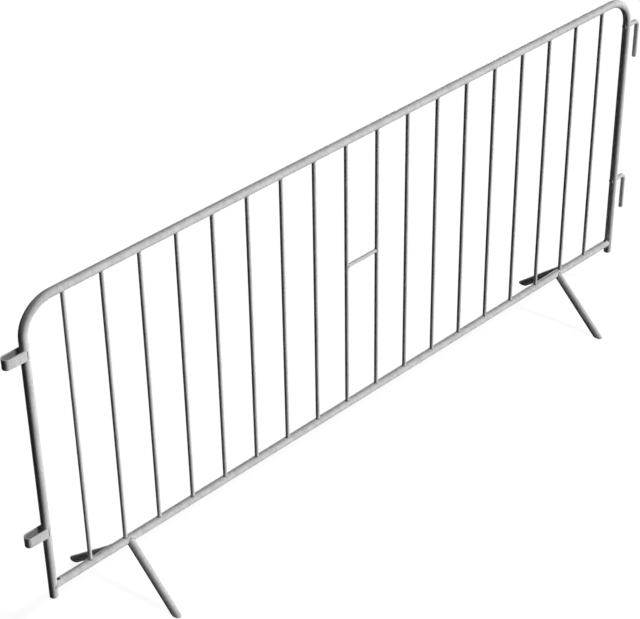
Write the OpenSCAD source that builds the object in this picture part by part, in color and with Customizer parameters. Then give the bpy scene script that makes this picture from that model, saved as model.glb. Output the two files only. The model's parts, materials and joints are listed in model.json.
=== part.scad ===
// Pedestrian barrier panel: a bent tube frame with upright bars, sloping feet,
// strap loops on the left leg and hook rods through the right leg.
// Millimetres. X runs along the panel, Y is square to it, Z is up from the ground.
// The origin is on the ground below the middle of the panel.

/* [Panel] */
// Height from the ground to the top of the top rail
panel_h = 1100; // [900:10:1300]
// Distance between the axes of the two legs
leg_spacing = 2365; // [1500:5:3000]
// Clear height under the bottom rail
rail_clear = 150; // [100:5:250]

/* [Frame tube] */
// Outside diameter of the frame tube
tube_d = 25; // [22:0.5:42]
// Wall of the frame tube
tube_wall = 1.5; // [1:0.1:3]
// Centreline radius of the two top corners
bend_r = 95; // [60:5:150]
// How far each leg runs on below the bottom rail
leg_tail = 25; // [5:1:60]

/* [Vent holes] */
// Diameter of the vent hole in the top of each end of the bottom rail
vent_d = 10; // [4:0.5:12]
// Metal left between a vent hole and the end of the rail
vent_web = 1.5; // [1:0.1:10]

/* [Infill bars] */
// Number of upright bars
bar_count = 18; // [8:2:24]
// Outside diameter of a bar
bar_d = 12; // [8:0.5:18]
// Wall of a bar
bar_wall = 1.2; // [0.8:0.1:2]

/* [Tie bar] */
// Outside diameter of the tie bar
tie_d = 12; // [8:0.5:18]
// Wall of the tie bar
tie_wall = 1.2; // [0.8:0.1:2]
// Height of the tie bar's axis above the bottom rail's axis
tie_rise = 502; // [100:2:650]

/* [Feet] */
// Outside diameter of a foot tube
foot_d = 24; // [18:0.5:34]
// Wall of a foot tube
foot_wall = 1.5; // [1:0.1:3]
// Distance from the panel to the foot's axis on the ground
foot_reach = 188; // [120:2:300]
// Distance along the rail from the leg's axis to the rear foot's axis
rear_foot_inset = 208; // [60:2:400]
// How much further in the front foot stands, so that stacked panels nest
foot_stagger = 58; // [30:1:120]

/* [Hooks] */
// Diameter of the hook rod
hook_d = 15; // [10:0.5:18]
// Distance from the leg's outside to the hanging rod's axis
hook_reach = 41; // [34:0.5:58]
// Centreline radius of the hook's bend
hook_bend_r = 16; // [13:0.5:24]
// Height from the arm's axis down to the rod's tip
hook_drop = 128.5; // [80:0.5:160]
// Distance from the end of the corner bend down to the upper hook's arm
hook_below_bend = 10; // [10:1:60]
// Distance between the arms of the two hooks
hook_spacing = 573; // [400:1:600]
// How far the arm's inner end stands proud of the far side of the leg
hook_proud = 1; // [0.5:0.1:4]
// Chamfer on the rod's tip
tip_chamfer = 1.5; // [0.5:0.1:3]

/* [Loops] */
// Thickness of the loop's strap
strap_t = 3; // [2:0.5:5]
// Height of the loop's strap
strap_h = 32; // [20:1:50]
// Distance from the leg's outside to the loop's outer end
loop_reach = 57; // [48:0.5:78]
// Distance from the upper hook's arm down to the top of the upper loop
upper_loop_drop = 16.5; // [12:0.5:40]
// Distance from the lower hook's arm down to the top of the lower loop
lower_loop_drop = 31.5; // [12:0.5:50]
// Play between a hook rod and each side of a loop
hook_play = 3; // [0.5:0.1:5]

/* [Fit] */
// Gap left between a piece and what it is welded to
weld_gap = 0.1; // [0.05:0.05:0.3]

/* [Hidden] */
$fn = 64;
tube_r = tube_d / 2;
bar_r = bar_d / 2;
tie_r = tie_d / 2;
foot_r = foot_d / 2;
hook_r = hook_d / 2;
leg_x = leg_spacing / 2;
top_z = panel_h - tube_r;
rail_z = rail_clear + tube_r;
leg_end_z = rail_clear - leg_tail;
vent_x = leg_x - tube_r - weld_gap - vent_web - vent_d / 2;
bend_z = top_z - bend_r;
bar_gap = (leg_spacing - tube_d - bar_count * bar_d) / (bar_count + 1);
bar_pitch = bar_gap + bar_d;
tie_z = rail_z + tie_rise;
foot_angle = atan2(rail_z, foot_reach);
foot_len = norm([foot_reach, rail_z]);
rear_foot_x = leg_x - rear_foot_inset;
front_foot_x = rear_foot_x - foot_stagger;
upper_hook_z = bend_z - hook_below_bend;
lower_hook_z = upper_hook_z - hook_spacing;
loop_gap = hook_d + 2 * hook_play;
loop_w = loop_gap + 2 * strap_t;
upper_loop_z = upper_hook_z - upper_loop_drop - strap_h;
lower_loop_z = lower_hook_z - lower_loop_drop - strap_h;
cut_over = tube_d;
galvanised = [0.78, 0.79, 0.80];
bright_zinc = [0.84, 0.85, 0.86];

// Position of a bar's axis along the panel, counted from the left
function bar_x(i) = -leg_x + tube_r + bar_gap + bar_r + i * bar_pitch;

// Name of a bar, counted from 01 at the left
function bar_name(i) = str("bar_", i < 9 ? "0" : "", i + 1);

frame_names = ["frame_hoop", "bottom_rail", "tie_bar"];
foot_names = ["front_left_foot", "rear_left_foot", "front_right_foot", "rear_right_foot"];
link_names = ["upper_loop", "lower_loop", "upper_hook", "lower_hook"];
bar_names = [for (i = [0 : bar_count - 1]) bar_name(i)];

// Cross-section of a round tube
module tube_section(d, wall) {
    difference() {
        circle(d = d);
        circle(d = d - 2 * wall);
    }
}

// Straight tube up from the origin
module tube(d, wall, length) {
    linear_extrude(length) tube_section(d, wall);
}

// Solid of a rail's outside, grown by the weld gap, for coping what meets it
module rail_cope(z) {
    translate([-leg_x, 0, z])
        rotate([0, 90, 0])
            cylinder(r = tube_r + weld_gap, h = leg_spacing);
}

// Solid of a leg's outside, grown by the weld gap
module leg_cope(side) {
    translate([side * leg_x, 0, leg_end_z])
        cylinder(r = tube_r + weld_gap, h = bend_z - leg_end_z);
}

// Quarter bend from the top of a leg to the top rail
module corner_bend() {
    translate([leg_x - bend_r, 0, bend_z])
        rotate([90, 0, 0])
            rotate_extrude(angle = 90)
                translate([bend_r, 0])
                    tube_section(tube_d, tube_wall);
}

// Holes through the right leg for one hook rod
module hook_hole(z) {
    translate([leg_x - tube_d, 0, z])
        rotate([0, 90, 0])
            cylinder(r = hook_r + weld_gap, h = 2 * tube_d);
}

module frame_hoop() {
    color(galvanised)
        difference() {
            union() {
                for (side = [-1, 1])
                    translate([side * leg_x, 0, leg_end_z])
                        tube(tube_d, tube_wall, bend_z - leg_end_z);
                corner_bend();
                mirror([1, 0, 0]) corner_bend();
                translate([-(leg_x - bend_r), 0, top_z])
                    rotate([0, 90, 0])
                        tube(tube_d, tube_wall, 2 * (leg_x - bend_r));
            }
            hook_hole(upper_hook_z);
            hook_hole(lower_hook_z);
        }
}

// Hole up from the bottom rail's axis through its top
module vent_hole(side) {
    translate([side * vent_x, 0, rail_z])
        cylinder(d = vent_d, h = tube_d);
}

module bottom_rail() {
    color(galvanised)
        difference() {
            translate([-leg_x, 0, rail_z])
                rotate([0, 90, 0])
                    tube(tube_d, tube_wall, leg_spacing);
            for (side = [-1, 1]) {
                leg_cope(side);
                vent_hole(side);
            }
        }
}

// Upright bar between the rails, coped to both
module bar(i) {
    color(bright_zinc)
        difference() {
            translate([bar_x(i), 0, rail_z])
                tube(bar_d, bar_wall, top_z - rail_z);
            rail_cope(rail_z);
            rail_cope(top_z);
        }
}

// Short bar between the two middle bars, coped to both
module tie_bar() {
    first = bar_count / 2 - 1;
    color(bright_zinc)
        difference() {
            translate([bar_x(first), 0, tie_z])
                rotate([0, 90, 0])
                    tube(tie_d, tie_wall, bar_pitch);
            for (i = [first, first + 1])
                translate([bar_x(i), 0, rail_z])
                    cylinder(r = bar_r + weld_gap, h = top_z - rail_z);
        }
}

// Foot tube from the bottom rail down to the ground, cut level there.
// facing is -1 for a front foot and 1 for a rear one.
module foot(x, facing) {
    color(galvanised)
        difference() {
            translate([x, 0, rail_z])
                rotate([facing * -(90 + foot_angle), 0, 0])
                    tube(foot_d, foot_wall, foot_len + cut_over);
            rail_cope(rail_z);
            translate([x - foot_d, -2 * foot_reach, -2 * cut_over])
                cube([2 * foot_d, 4 * foot_reach, 2 * cut_over]);
        }
}

module front_left_foot() { foot(-front_foot_x, -1); }
module rear_left_foot() { foot(-rear_foot_x, 1); }
module front_right_foot() { foot(front_foot_x, -1); }
module rear_right_foot() { foot(rear_foot_x, 1); }

// Outline of a loop seen from above, from the leg's axis out to its round end
module loop_outline(width, reach) {
    translate([-reach + width / 2, 0])
        circle(d = width);
    translate([-reach + width / 2, -width / 2])
        square([reach - width / 2, width]);
}

// Strap bent into a U, open at the top and bottom, coped to the left leg
module loop(z) {
    reach = tube_r + loop_reach;
    color(galvanised)
        difference() {
            translate([-leg_x, 0, z])
                linear_extrude(strap_h)
                    difference() {
                        loop_outline(loop_w, reach);
                        loop_outline(loop_gap, reach - strap_t);
                    }
            leg_cope(-1);
        }
}

module upper_loop() { loop(upper_loop_z); }
module lower_loop() { loop(lower_loop_z); }

// Rod through the right leg, bent down outside it
module hook(z) {
    arm_x = leg_x - tube_r - hook_proud;
    rod_x = leg_x + tube_r + hook_reach;
    color(bright_zinc) {
        translate([arm_x, 0, z])
            rotate([0, 90, 0])
                cylinder(r = hook_r, h = rod_x - hook_bend_r - arm_x);
        translate([rod_x - hook_bend_r, 0, z - hook_bend_r])
            rotate([90, 0, 0])
                rotate_extrude(angle = 90)
                    translate([hook_bend_r, 0])
                        circle(r = hook_r);
        translate([rod_x, 0, z - hook_drop + tip_chamfer])
            cylinder(r = hook_r, h = hook_drop - hook_bend_r - tip_chamfer);
        translate([rod_x, 0, z - hook_drop])
            cylinder(r1 = hook_r - tip_chamfer, r2 = hook_r, h = tip_chamfer);
    }
}

module upper_hook() { hook(upper_hook_z); }
module lower_hook() { hook(lower_hook_z); }

frame_hoop();
bottom_rail();
tie_bar();
front_left_foot();
rear_left_foot();
front_right_foot();
rear_right_foot();
upper_loop();
lower_loop();
upper_hook();
lower_hook();
for (i = [0 : bar_count - 1])
    bar(i);
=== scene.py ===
# Pedestrian barrier panel in galvanised steel: finish, weld beads, light and camera around the solids.
import json
import math

import bmesh
import bpy
from mathutils import Matrix, Vector


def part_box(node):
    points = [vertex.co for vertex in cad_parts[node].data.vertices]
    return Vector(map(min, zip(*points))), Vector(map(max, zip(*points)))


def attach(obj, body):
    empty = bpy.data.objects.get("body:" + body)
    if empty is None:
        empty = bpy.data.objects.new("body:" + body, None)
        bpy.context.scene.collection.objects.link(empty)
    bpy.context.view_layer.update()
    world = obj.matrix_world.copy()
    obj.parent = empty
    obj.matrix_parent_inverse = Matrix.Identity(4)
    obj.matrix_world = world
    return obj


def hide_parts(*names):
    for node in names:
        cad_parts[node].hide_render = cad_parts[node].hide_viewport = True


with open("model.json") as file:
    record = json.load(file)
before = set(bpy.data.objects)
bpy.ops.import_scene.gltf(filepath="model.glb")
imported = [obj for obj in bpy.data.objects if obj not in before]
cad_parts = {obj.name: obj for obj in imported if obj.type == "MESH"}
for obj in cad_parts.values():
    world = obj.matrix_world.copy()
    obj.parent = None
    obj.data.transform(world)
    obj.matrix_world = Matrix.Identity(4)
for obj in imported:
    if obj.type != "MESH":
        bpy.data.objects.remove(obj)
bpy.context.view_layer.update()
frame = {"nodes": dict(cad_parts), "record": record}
nodes = frame["nodes"]
mm = 0.001
print("frame loaded:", len(nodes), "CAD nodes")


def middle(node):
    low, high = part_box(node)
    return (low + high) / 2


def halfSize(node):
    low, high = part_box(node)
    return (high - low) / 2


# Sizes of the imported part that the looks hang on
barNames = sorted(n for n in nodes if n.startswith("bar_"))
footNames = sorted(n for n in nodes if n.endswith("_foot"))
loopNames = sorted(n for n in nodes if n.endswith("_loop"))
hookNames = sorted(n for n in nodes if n.endswith("_hook"))
mounts = {m["name"]: m for m in frame["record"]["mounts"]}
tubeRadius = halfSize("frame_hoop").y
legX = halfSize("frame_hoop").x - tubeRadius
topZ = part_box("frame_hoop")[1].z - tubeRadius
railZ = middle("bottom_rail").z
across, upwards = Vector((1, 0, 0)), Vector((0, 0, 1))


def linearColour(code):
    parts = [int(code[i:i + 2], 16) / 255 for i in (1, 3, 5)]
    return [c / 12.92 if c <= 0.04045 else ((c + 0.055) / 1.055) ** 2.4 for c in parts] + [1]


def addNode(tree, kind, settings=None, links=None):
    node = tree.nodes.new(kind)
    for key, value in (settings or {}).items():
        if isinstance(key, int) or key in node.inputs:
            node.inputs[key].default_value = value
        else:
            setattr(node, key, value)
    for key, socket in (links or {}).items():
        tree.links.new(socket, node.inputs[key])
    return node


def emptyMaterial(name):
    material = bpy.data.materials.new(name)
    material.use_nodes = True
    material.node_tree.nodes.clear()
    return material, material.node_tree


# Hot-dip galvanised steel, weathered: the zinc froze in crystals, and a thin carbonate skin has dulled it.
# The eye sees a pale matt grey with small crystal patches and drawn-out runs, and hardly any mirror.
def galvanisedSteel(name, look):
    material, tree = emptyMaterial(name)
    place = addNode(tree, "ShaderNodeTexCoord").outputs["Object"]
    # Crystals, pushed about a little so that their borders aren't straight
    wander = addNode(tree, "ShaderNodeTexNoise",
                     {"Scale": 1 / (look["wander"] * look["spangle"]), "Detail": 2.0}, {"Vector": place})
    shifted = addNode(tree, "ShaderNodeVectorMath",
                      {"operation": "MULTIPLY_ADD", 1: [look["shift"] * look["spangle"]] * 3},
                      {0: wander.outputs["Color"], 2: place})
    crystal = addNode(tree, "ShaderNodeTexVoronoi", {"Scale": 1 / look["spangle"]},
                      {"Vector": shifted.outputs[0]})
    facet = addNode(tree, "ShaderNodeSeparateColor", {}, {"Color": crystal.outputs["Color"]})
    # Runs, drawn out upwards, and a fine grain
    drawnOut = addNode(tree, "ShaderNodeMapping", {"Scale": [1, 1, look["run"]]}, {"Vector": place})
    runs = addNode(tree, "ShaderNodeTexNoise", {"Scale": 1 / look["runWidth"], "Detail": 3.0},
                   {"Vector": drawnOut.outputs[0]})
    grain = addNode(tree, "ShaderNodeTexNoise", {"Scale": 1 / look["grain"], "Detail": 2.0},
                    {"Vector": place})
    # Colour from runs and crystals, gloss from crystals, relief from runs and grain
    patch = addNode(tree, "ShaderNodeMapRange",
                    {"To Min": -look["patches"] / 2, "To Max": look["patches"] / 2},
                    {"Value": facet.outputs["Red"]})
    level = addNode(tree, "ShaderNodeMath", {"operation": "ADD"},
                    {0: runs.outputs["Fac"], 1: patch.outputs[0]})
    tone = addNode(tree, "ShaderNodeValToRGB", {}, {"Fac": level.outputs[0]})
    for stop, share, colour in zip(tone.color_ramp.elements, look["toneRange"], look["tones"]):
        stop.position = share
        stop.color = linearColour(colour)
    gloss = addNode(tree, "ShaderNodeMapRange",
                    {"To Min": look["roughness"][0], "To Max": look["roughness"][1]},
                    {"Value": facet.outputs["Green"]})
    height = addNode(tree, "ShaderNodeMath", {"operation": "MULTIPLY_ADD", 1: look["grainShare"]},
                     {0: grain.outputs["Fac"], 2: runs.outputs["Fac"]})
    bump = addNode(tree, "ShaderNodeBump", {"Strength": look["bump"], "Distance": look["relief"]},
                   {"Height": height.outputs[0]})
    skin = addNode(tree, "ShaderNodeBsdfPrincipled",
                   {"Metallic": look["metallic"], "Specular IOR Level": look["specular"]},
                   {"Base Color": tone.outputs["Color"], "Roughness": gloss.outputs[0],
                    "Normal": bump.outputs["Normal"]})
    addNode(tree, "ShaderNodeOutputMaterial", {}, {"Surface": skin.outputs[0]})
    return material


tubeLook = {"spangle": 6 * mm, "wander": 1.6, "shift": 0.5, "patches": 0.3,  # wander and shift in spangles
            "run": 0.25, "runWidth": 22 * mm,
            "grain": 1.5 * mm, "grainShare": 0.2,
            "tones": ("#C2C2C2", "#D5D5D5"), "toneRange": (0.3, 0.7),
            "roughness": (0.42, 0.56), "bump": 0.1, "relief": 0.3 * mm,
            "metallic": 0.0, "specular": 0.05}  # the skin is a salt of zinc, no bare metal
barLook = dict(tubeLook, spangle=5 * mm, runWidth=14 * mm, run=0.15)
fittingLook = dict(tubeLook, spangle=7 * mm)  # thicker steel cools slower, so its crystals grow larger
weldLook = dict(tubeLook, spangle=4 * mm, grain=0.8 * mm, tones=("#8A8A8A", "#AAAAAA"), bump=0.5)
finishes = {"galvanised_tube": galvanisedSteel("galvanisedTube", tubeLook),
            "galvanised_bar": galvanisedSteel("galvanisedBar", barLook),
            "galvanised_fitting": galvanisedSteel("galvanisedFitting", fittingLook)}
weldFinish = galvanisedSteel("galvanisedWeld", weldLook)
for part in frame["record"]["subparts"]:
    for materialSlot in nodes[part["node"]].material_slots:
        materialSlot.material = finishes[part["material_slot"]]
print("materials made:", ", ".join(m.name for m in (*finishes.values(), weldFinish)))


def finishedPiece(name, bm, material):
    bmesh.ops.recalc_face_normals(bm, faces=bm.faces)
    mesh = bpy.data.meshes.new(name)
    bm.to_mesh(mesh)
    bm.free()
    mesh.shade_smooth()
    mesh.materials.append(material)
    piece = bpy.data.objects.new(name, mesh)
    bpy.context.scene.collection.objects.link(piece)
    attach(piece, "root")
    return piece


# Weld beads: a rippled fillet all round where a round member is coped to a tube.
weldSizes = {"barBead": 1.2 * mm, "tubeBead": 1.4 * mm, "strapBead": 1.5 * mm,
             "ripple": 2.5 * mm, "rippleDepth": 0.12, "stepsPerRipple": 4, "sectionSides": 8,
             "swell": 0.08, "swellEvery": 9 * mm,  # the thick sides lie elsewhere on each bead
             "strapEnd": 2 * mm, "blunt": 8}  # a larger blunt keeps a strap's bead full nearer to its ends


def saddleBead(bm, centre, axis, tubeAxis, radius, tubeRadiusThere, bead):
    turns = round(2 * math.pi * radius / weldSizes["ripple"])  # ripples round the member
    upright = Matrix.Translation((radius, 0, 0)) @ Matrix.Rotation(math.pi / 2, 4, "X")
    section = bmesh.ops.create_circle(bm, segments=weldSizes["sectionSides"], radius=bead, matrix=upright)
    rim = section["verts"]
    edges = list(dict.fromkeys(e for v in rim for e in v.link_edges))  # each once, in a fixed order
    before = set(bm.verts) - set(rim)
    bmesh.ops.spin(bm, geom=rim + edges, cent=(0, 0, 0), axis=(0, 0, 1), angle=2 * math.pi,
                   steps=turns * weldSizes["stepsPerRipple"], use_merge=True)
    made = [v for v in bm.verts if v not in before]
    phase = centre.x / weldSizes["swellEvery"]  # so that no two beads are alike
    for v in made:
        angle = math.atan2(v.co.y, v.co.x)
        core = Vector((radius * math.cos(angle), radius * math.sin(angle), 0))
        ripple = weldSizes["rippleDepth"] * math.cos(turns * angle)
        swell = weldSizes["swell"] * math.sin(2 * angle + phase)
        v.co = core + (v.co - core) * (1 + ripple + swell)
        v.co.z += math.sqrt(max(tubeRadiusThere ** 2 - core.y ** 2, 0))  # up to the saddle line
    side = axis.cross(tubeAxis)
    turned = Matrix((tubeAxis, side, axis)).transposed().to_4x4()
    bmesh.ops.transform(bm, verts=made, matrix=Matrix.Translation(centre) @ turned)


def weldBars():
    for end, z, direction in (("top", topZ, -upwards), ("bottom", railZ, upwards)):
        bm = bmesh.new()
        for name in barNames:
            saddleBead(bm, Vector((middle(name).x, 0, z)), direction, across, halfSize(name).x, tubeRadius,
                       weldSizes["barBead"])
        finishedPiece("bar_welds_" + end, bm, weldFinish)


def weldTieBar():
    bm = bmesh.new()
    reach = halfSize("tie_bar").x
    half = halfSize("tie_bar").z
    for side in (-1, 1):
        bar = min(barNames, key=lambda n: abs(middle(n).x - middle("tie_bar").x - side * reach))
        centre = Vector((middle(bar).x, 0, middle("tie_bar").z))
        saddleBead(bm, centre, -side * across, upwards, half, halfSize(bar).x, weldSizes["barBead"])
    finishedPiece("tie_bar_welds", bm, weldFinish)


def weldRailEnds():
    bm = bmesh.new()
    for side in (-1, 1):
        saddleBead(bm, Vector((side * legX, 0, railZ)), -side * across, upwards, tubeRadius, tubeRadius,
                   weldSizes["tubeBead"])
    finishedPiece("rail_end_welds", bm, weldFinish)


def weldFeet():
    bm = bmesh.new()
    for name in footNames:
        ground = Vector((middle(name).x, mounts[name + "_end"]["pos_m"][1], 0))
        centre = Vector((ground.x, 0, railZ))
        saddleBead(bm, centre, (ground - centre).normalized(), across, halfSize(name).x, tubeRadius,
                   weldSizes["tubeBead"])
    finishedPiece("foot_welds", bm, weldFinish)


def weldHooks():
    bm = bmesh.new()
    for name in hookNames:
        rod = halfSize(name).y
        saddleBead(bm, Vector((legX, 0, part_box(name)[1].z - rod)), across, upwards, rod, tubeRadius,
                   weldSizes["tubeBead"])
    finishedPiece("hook_welds", bm, weldFinish)


# The straps' ends lie beside the leg, with one upright bead along each, thinned out at both ends.
def weldLoops():
    bm = bmesh.new()
    for name in loopNames:
        low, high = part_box(name)
        halfLength = (high.z - low.z) / 2 - weldSizes["strapEnd"]
        rings = round(2 * halfLength / weldSizes["ripple"]) * weldSizes["stepsPerRipple"]
        for side in (-1, 1):
            place = Vector((-legX, side * (tubeRadius + high.y) / 2, middle(name).z))
            ball = bmesh.ops.create_uvsphere(bm, u_segments=weldSizes["sectionSides"], v_segments=rings,
                                             radius=1)
            for v in ball["verts"]:
                along = v.co.z * halfLength
                ripple = weldSizes["rippleDepth"] * math.cos(2 * math.pi * along / weldSizes["ripple"])
                taper = math.sqrt(max(1 - v.co.z ** weldSizes["blunt"], 0))
                outwards = Vector((v.co.x, v.co.y, 0)).normalized()
                v.co = place + upwards * along + outwards * (weldSizes["strapBead"] * (1 + ripple) * taper)
    finishedPiece("loop_welds", bm, weldFinish)


# Loop straps with their sawn and sheared edges softened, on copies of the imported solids.
strapSizes = {"edge": 0.6 * mm, "edgeSteps": 3, "sharp": 50, "flat": 1,  # sharp and flat in degrees
              "merge": 0.001 * mm}


def softenLoops():
    sharp, flat = math.radians(strapSizes["sharp"]), math.radians(strapSizes["flat"])
    legSide = -legX - tubeRadius
    for name in loopNames:
        bm = bmesh.new()
        bm.from_mesh(nodes[name].data)
        bmesh.ops.remove_doubles(bm, verts=bm.verts, dist=strapSizes["merge"])
        bmesh.ops.dissolve_limit(bm, angle_limit=flat, verts=bm.verts, edges=bm.edges)
        rims = [e for e in bm.edges if len(e.link_faces) == 2 and e.calc_face_angle(0) > sharp
                and max(v.co.x for v in e.verts) < legSide]
        bmesh.ops.bevel(bm, geom=rims, offset=strapSizes["edge"], offset_type="OFFSET", affect="EDGES",
                        segments=strapSizes["edgeSteps"], profile=0.5, material=-1, clamp_overlap=True)
        piece = finishedPiece(name + "_strap", bm, finishes["galvanised_fitting"])
        piece.data.set_sharp_from_angle(angle=sharp)
        evenNormals = piece.modifiers.new("flat faces stay flat", "WEIGHTED_NORMAL")
        evenNormals.keep_sharp = True
        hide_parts(name)


weldBars()
weldTieBar()
weldRailEnds()
weldFeet()
weldHooks()
weldLoops()
print("weld beads made")
softenLoops()
print("loop straps softened")


# White floor: it shows white to the eye and in gloss, keeps a faint shadow and throws little light back up.
floorLook = {"size": 60.0, "glow": 0.92, "keep": "#9A9A9A", "bounce": "#262626"}


def seenWhite(tree):
    path = addNode(tree, "ShaderNodeLightPath")
    seen = addNode(tree, "ShaderNodeMath", {"operation": "MAXIMUM"},
                   {0: path.outputs["Is Camera Ray"], 1: path.outputs["Is Glossy Ray"]})
    return addNode(tree, "ShaderNodeMath", {"operation": "MAXIMUM"},
                   {0: seen.outputs[0], 1: path.outputs["Is Transmission Ray"]}).outputs[0]


def makeFloor():
    bm = bmesh.new()
    bmesh.ops.create_grid(bm, x_segments=1, y_segments=1, size=floorLook["size"] / 2)
    mesh = bpy.data.meshes.new("floor")
    bm.to_mesh(mesh)
    bm.free()
    floor = bpy.data.objects.new("floor", mesh)
    bpy.context.scene.collection.objects.link(floor)
    material, tree = emptyMaterial("whitePaperFloor")
    glow = addNode(tree, "ShaderNodeEmission", {"Strength": floorLook["glow"]})
    keep = addNode(tree, "ShaderNodeBsdfDiffuse", {"Color": linearColour(floorLook["keep"])})
    white = addNode(tree, "ShaderNodeAddShader", {}, {0: glow.outputs[0], 1: keep.outputs[0]})
    bounce = addNode(tree, "ShaderNodeBsdfDiffuse", {"Color": linearColour(floorLook["bounce"])})
    mixed = addNode(tree, "ShaderNodeMixShader", {},
                    {0: seenWhite(tree), 1: bounce.outputs[0], 2: white.outputs[0]})
    addNode(tree, "ShaderNodeOutputMaterial", {}, {"Surface": mixed.outputs[0]})
    mesh.materials.append(material)


# Lamps: a face turned square to a lamp of level 1 renders as its colour is written.
# turn is counted from the front towards the right, rise from the horizon.
studioLook = {"sky": "#FFFFFF", "fill": 0.008,
              "lamps": {"frontLamp": {"turn": 46, "rise": 2, "level": 1.04, "spread": 6},
                        "highLamp": {"turn": 27, "rise": 50, "level": 0.36, "spread": 10},
                        "backLamp": {"turn": 138, "rise": 3, "level": 0.45, "spread": 6}}}


def makeWorld():
    world = bpy.data.worlds.new("studio")
    bpy.context.scene.world = world
    world.use_nodes = True
    tree = world.node_tree
    tree.nodes.clear()
    sky = linearColour(studioLook["sky"])
    white = addNode(tree, "ShaderNodeBackground", {"Color": sky, "Strength": 1.0})
    fill = addNode(tree, "ShaderNodeBackground", {"Color": sky, "Strength": studioLook["fill"]})
    mixed = addNode(tree, "ShaderNodeMixShader", {},
                    {0: seenWhite(tree), 1: fill.outputs[0], 2: white.outputs[0]})
    addNode(tree, "ShaderNodeOutputWorld", {}, {"Surface": mixed.outputs[0]})


def makeLamps():
    for name, look in studioLook["lamps"].items():
        lamp = bpy.data.lights.new(name, "SUN")
        lamp.energy = math.pi * look["level"]
        lamp.angle = math.radians(look["spread"])
        turn, rise = math.radians(look["turn"]), math.radians(look["rise"])
        toLamp = Vector((math.sin(turn) * math.cos(rise), -math.cos(turn) * math.cos(rise), math.sin(rise)))
        holder = bpy.data.objects.new(name, lamp)
        holder.rotation_mode = "QUATERNION"
        holder.rotation_quaternion = toLamp.to_track_quat("Z", "Y")
        bpy.context.scene.collection.objects.link(holder)


# Camera: looks down along the cube diagonal from the front left, with the view cropped off centre.
cameraLook = {"place": (-3.3808, -3.3776, 3.9246), "turn": -45.0, "tip": 54.7356, "focalPixels": 1990.77,
              "centrePixel": (360.887, 291.722), "imagePixels": (640, 619), "sensor": 36.0, "farthest": 200}


def makeCamera():
    lens = bpy.data.cameras.new("camera")
    width, height = cameraLook["imagePixels"]
    lens.sensor_width = cameraLook["sensor"]
    lens.lens = cameraLook["focalPixels"] / width * cameraLook["sensor"]
    lens.shift_x = (width / 2 - cameraLook["centrePixel"][0]) / width
    lens.shift_y = (cameraLook["centrePixel"][1] - height / 2) / width
    lens.clip_end = cameraLook["farthest"]
    holder = bpy.data.objects.new("camera", lens)
    holder.location = cameraLook["place"]
    holder.rotation_euler = (math.radians(cameraLook["tip"]), 0, math.radians(cameraLook["turn"]))
    bpy.context.scene.collection.objects.link(holder)
    bpy.context.scene.camera = holder


makeFloor()
makeWorld()
makeLamps()
makeCamera()
bpy.context.scene.view_settings.view_transform = "Standard"
print("studio ready")
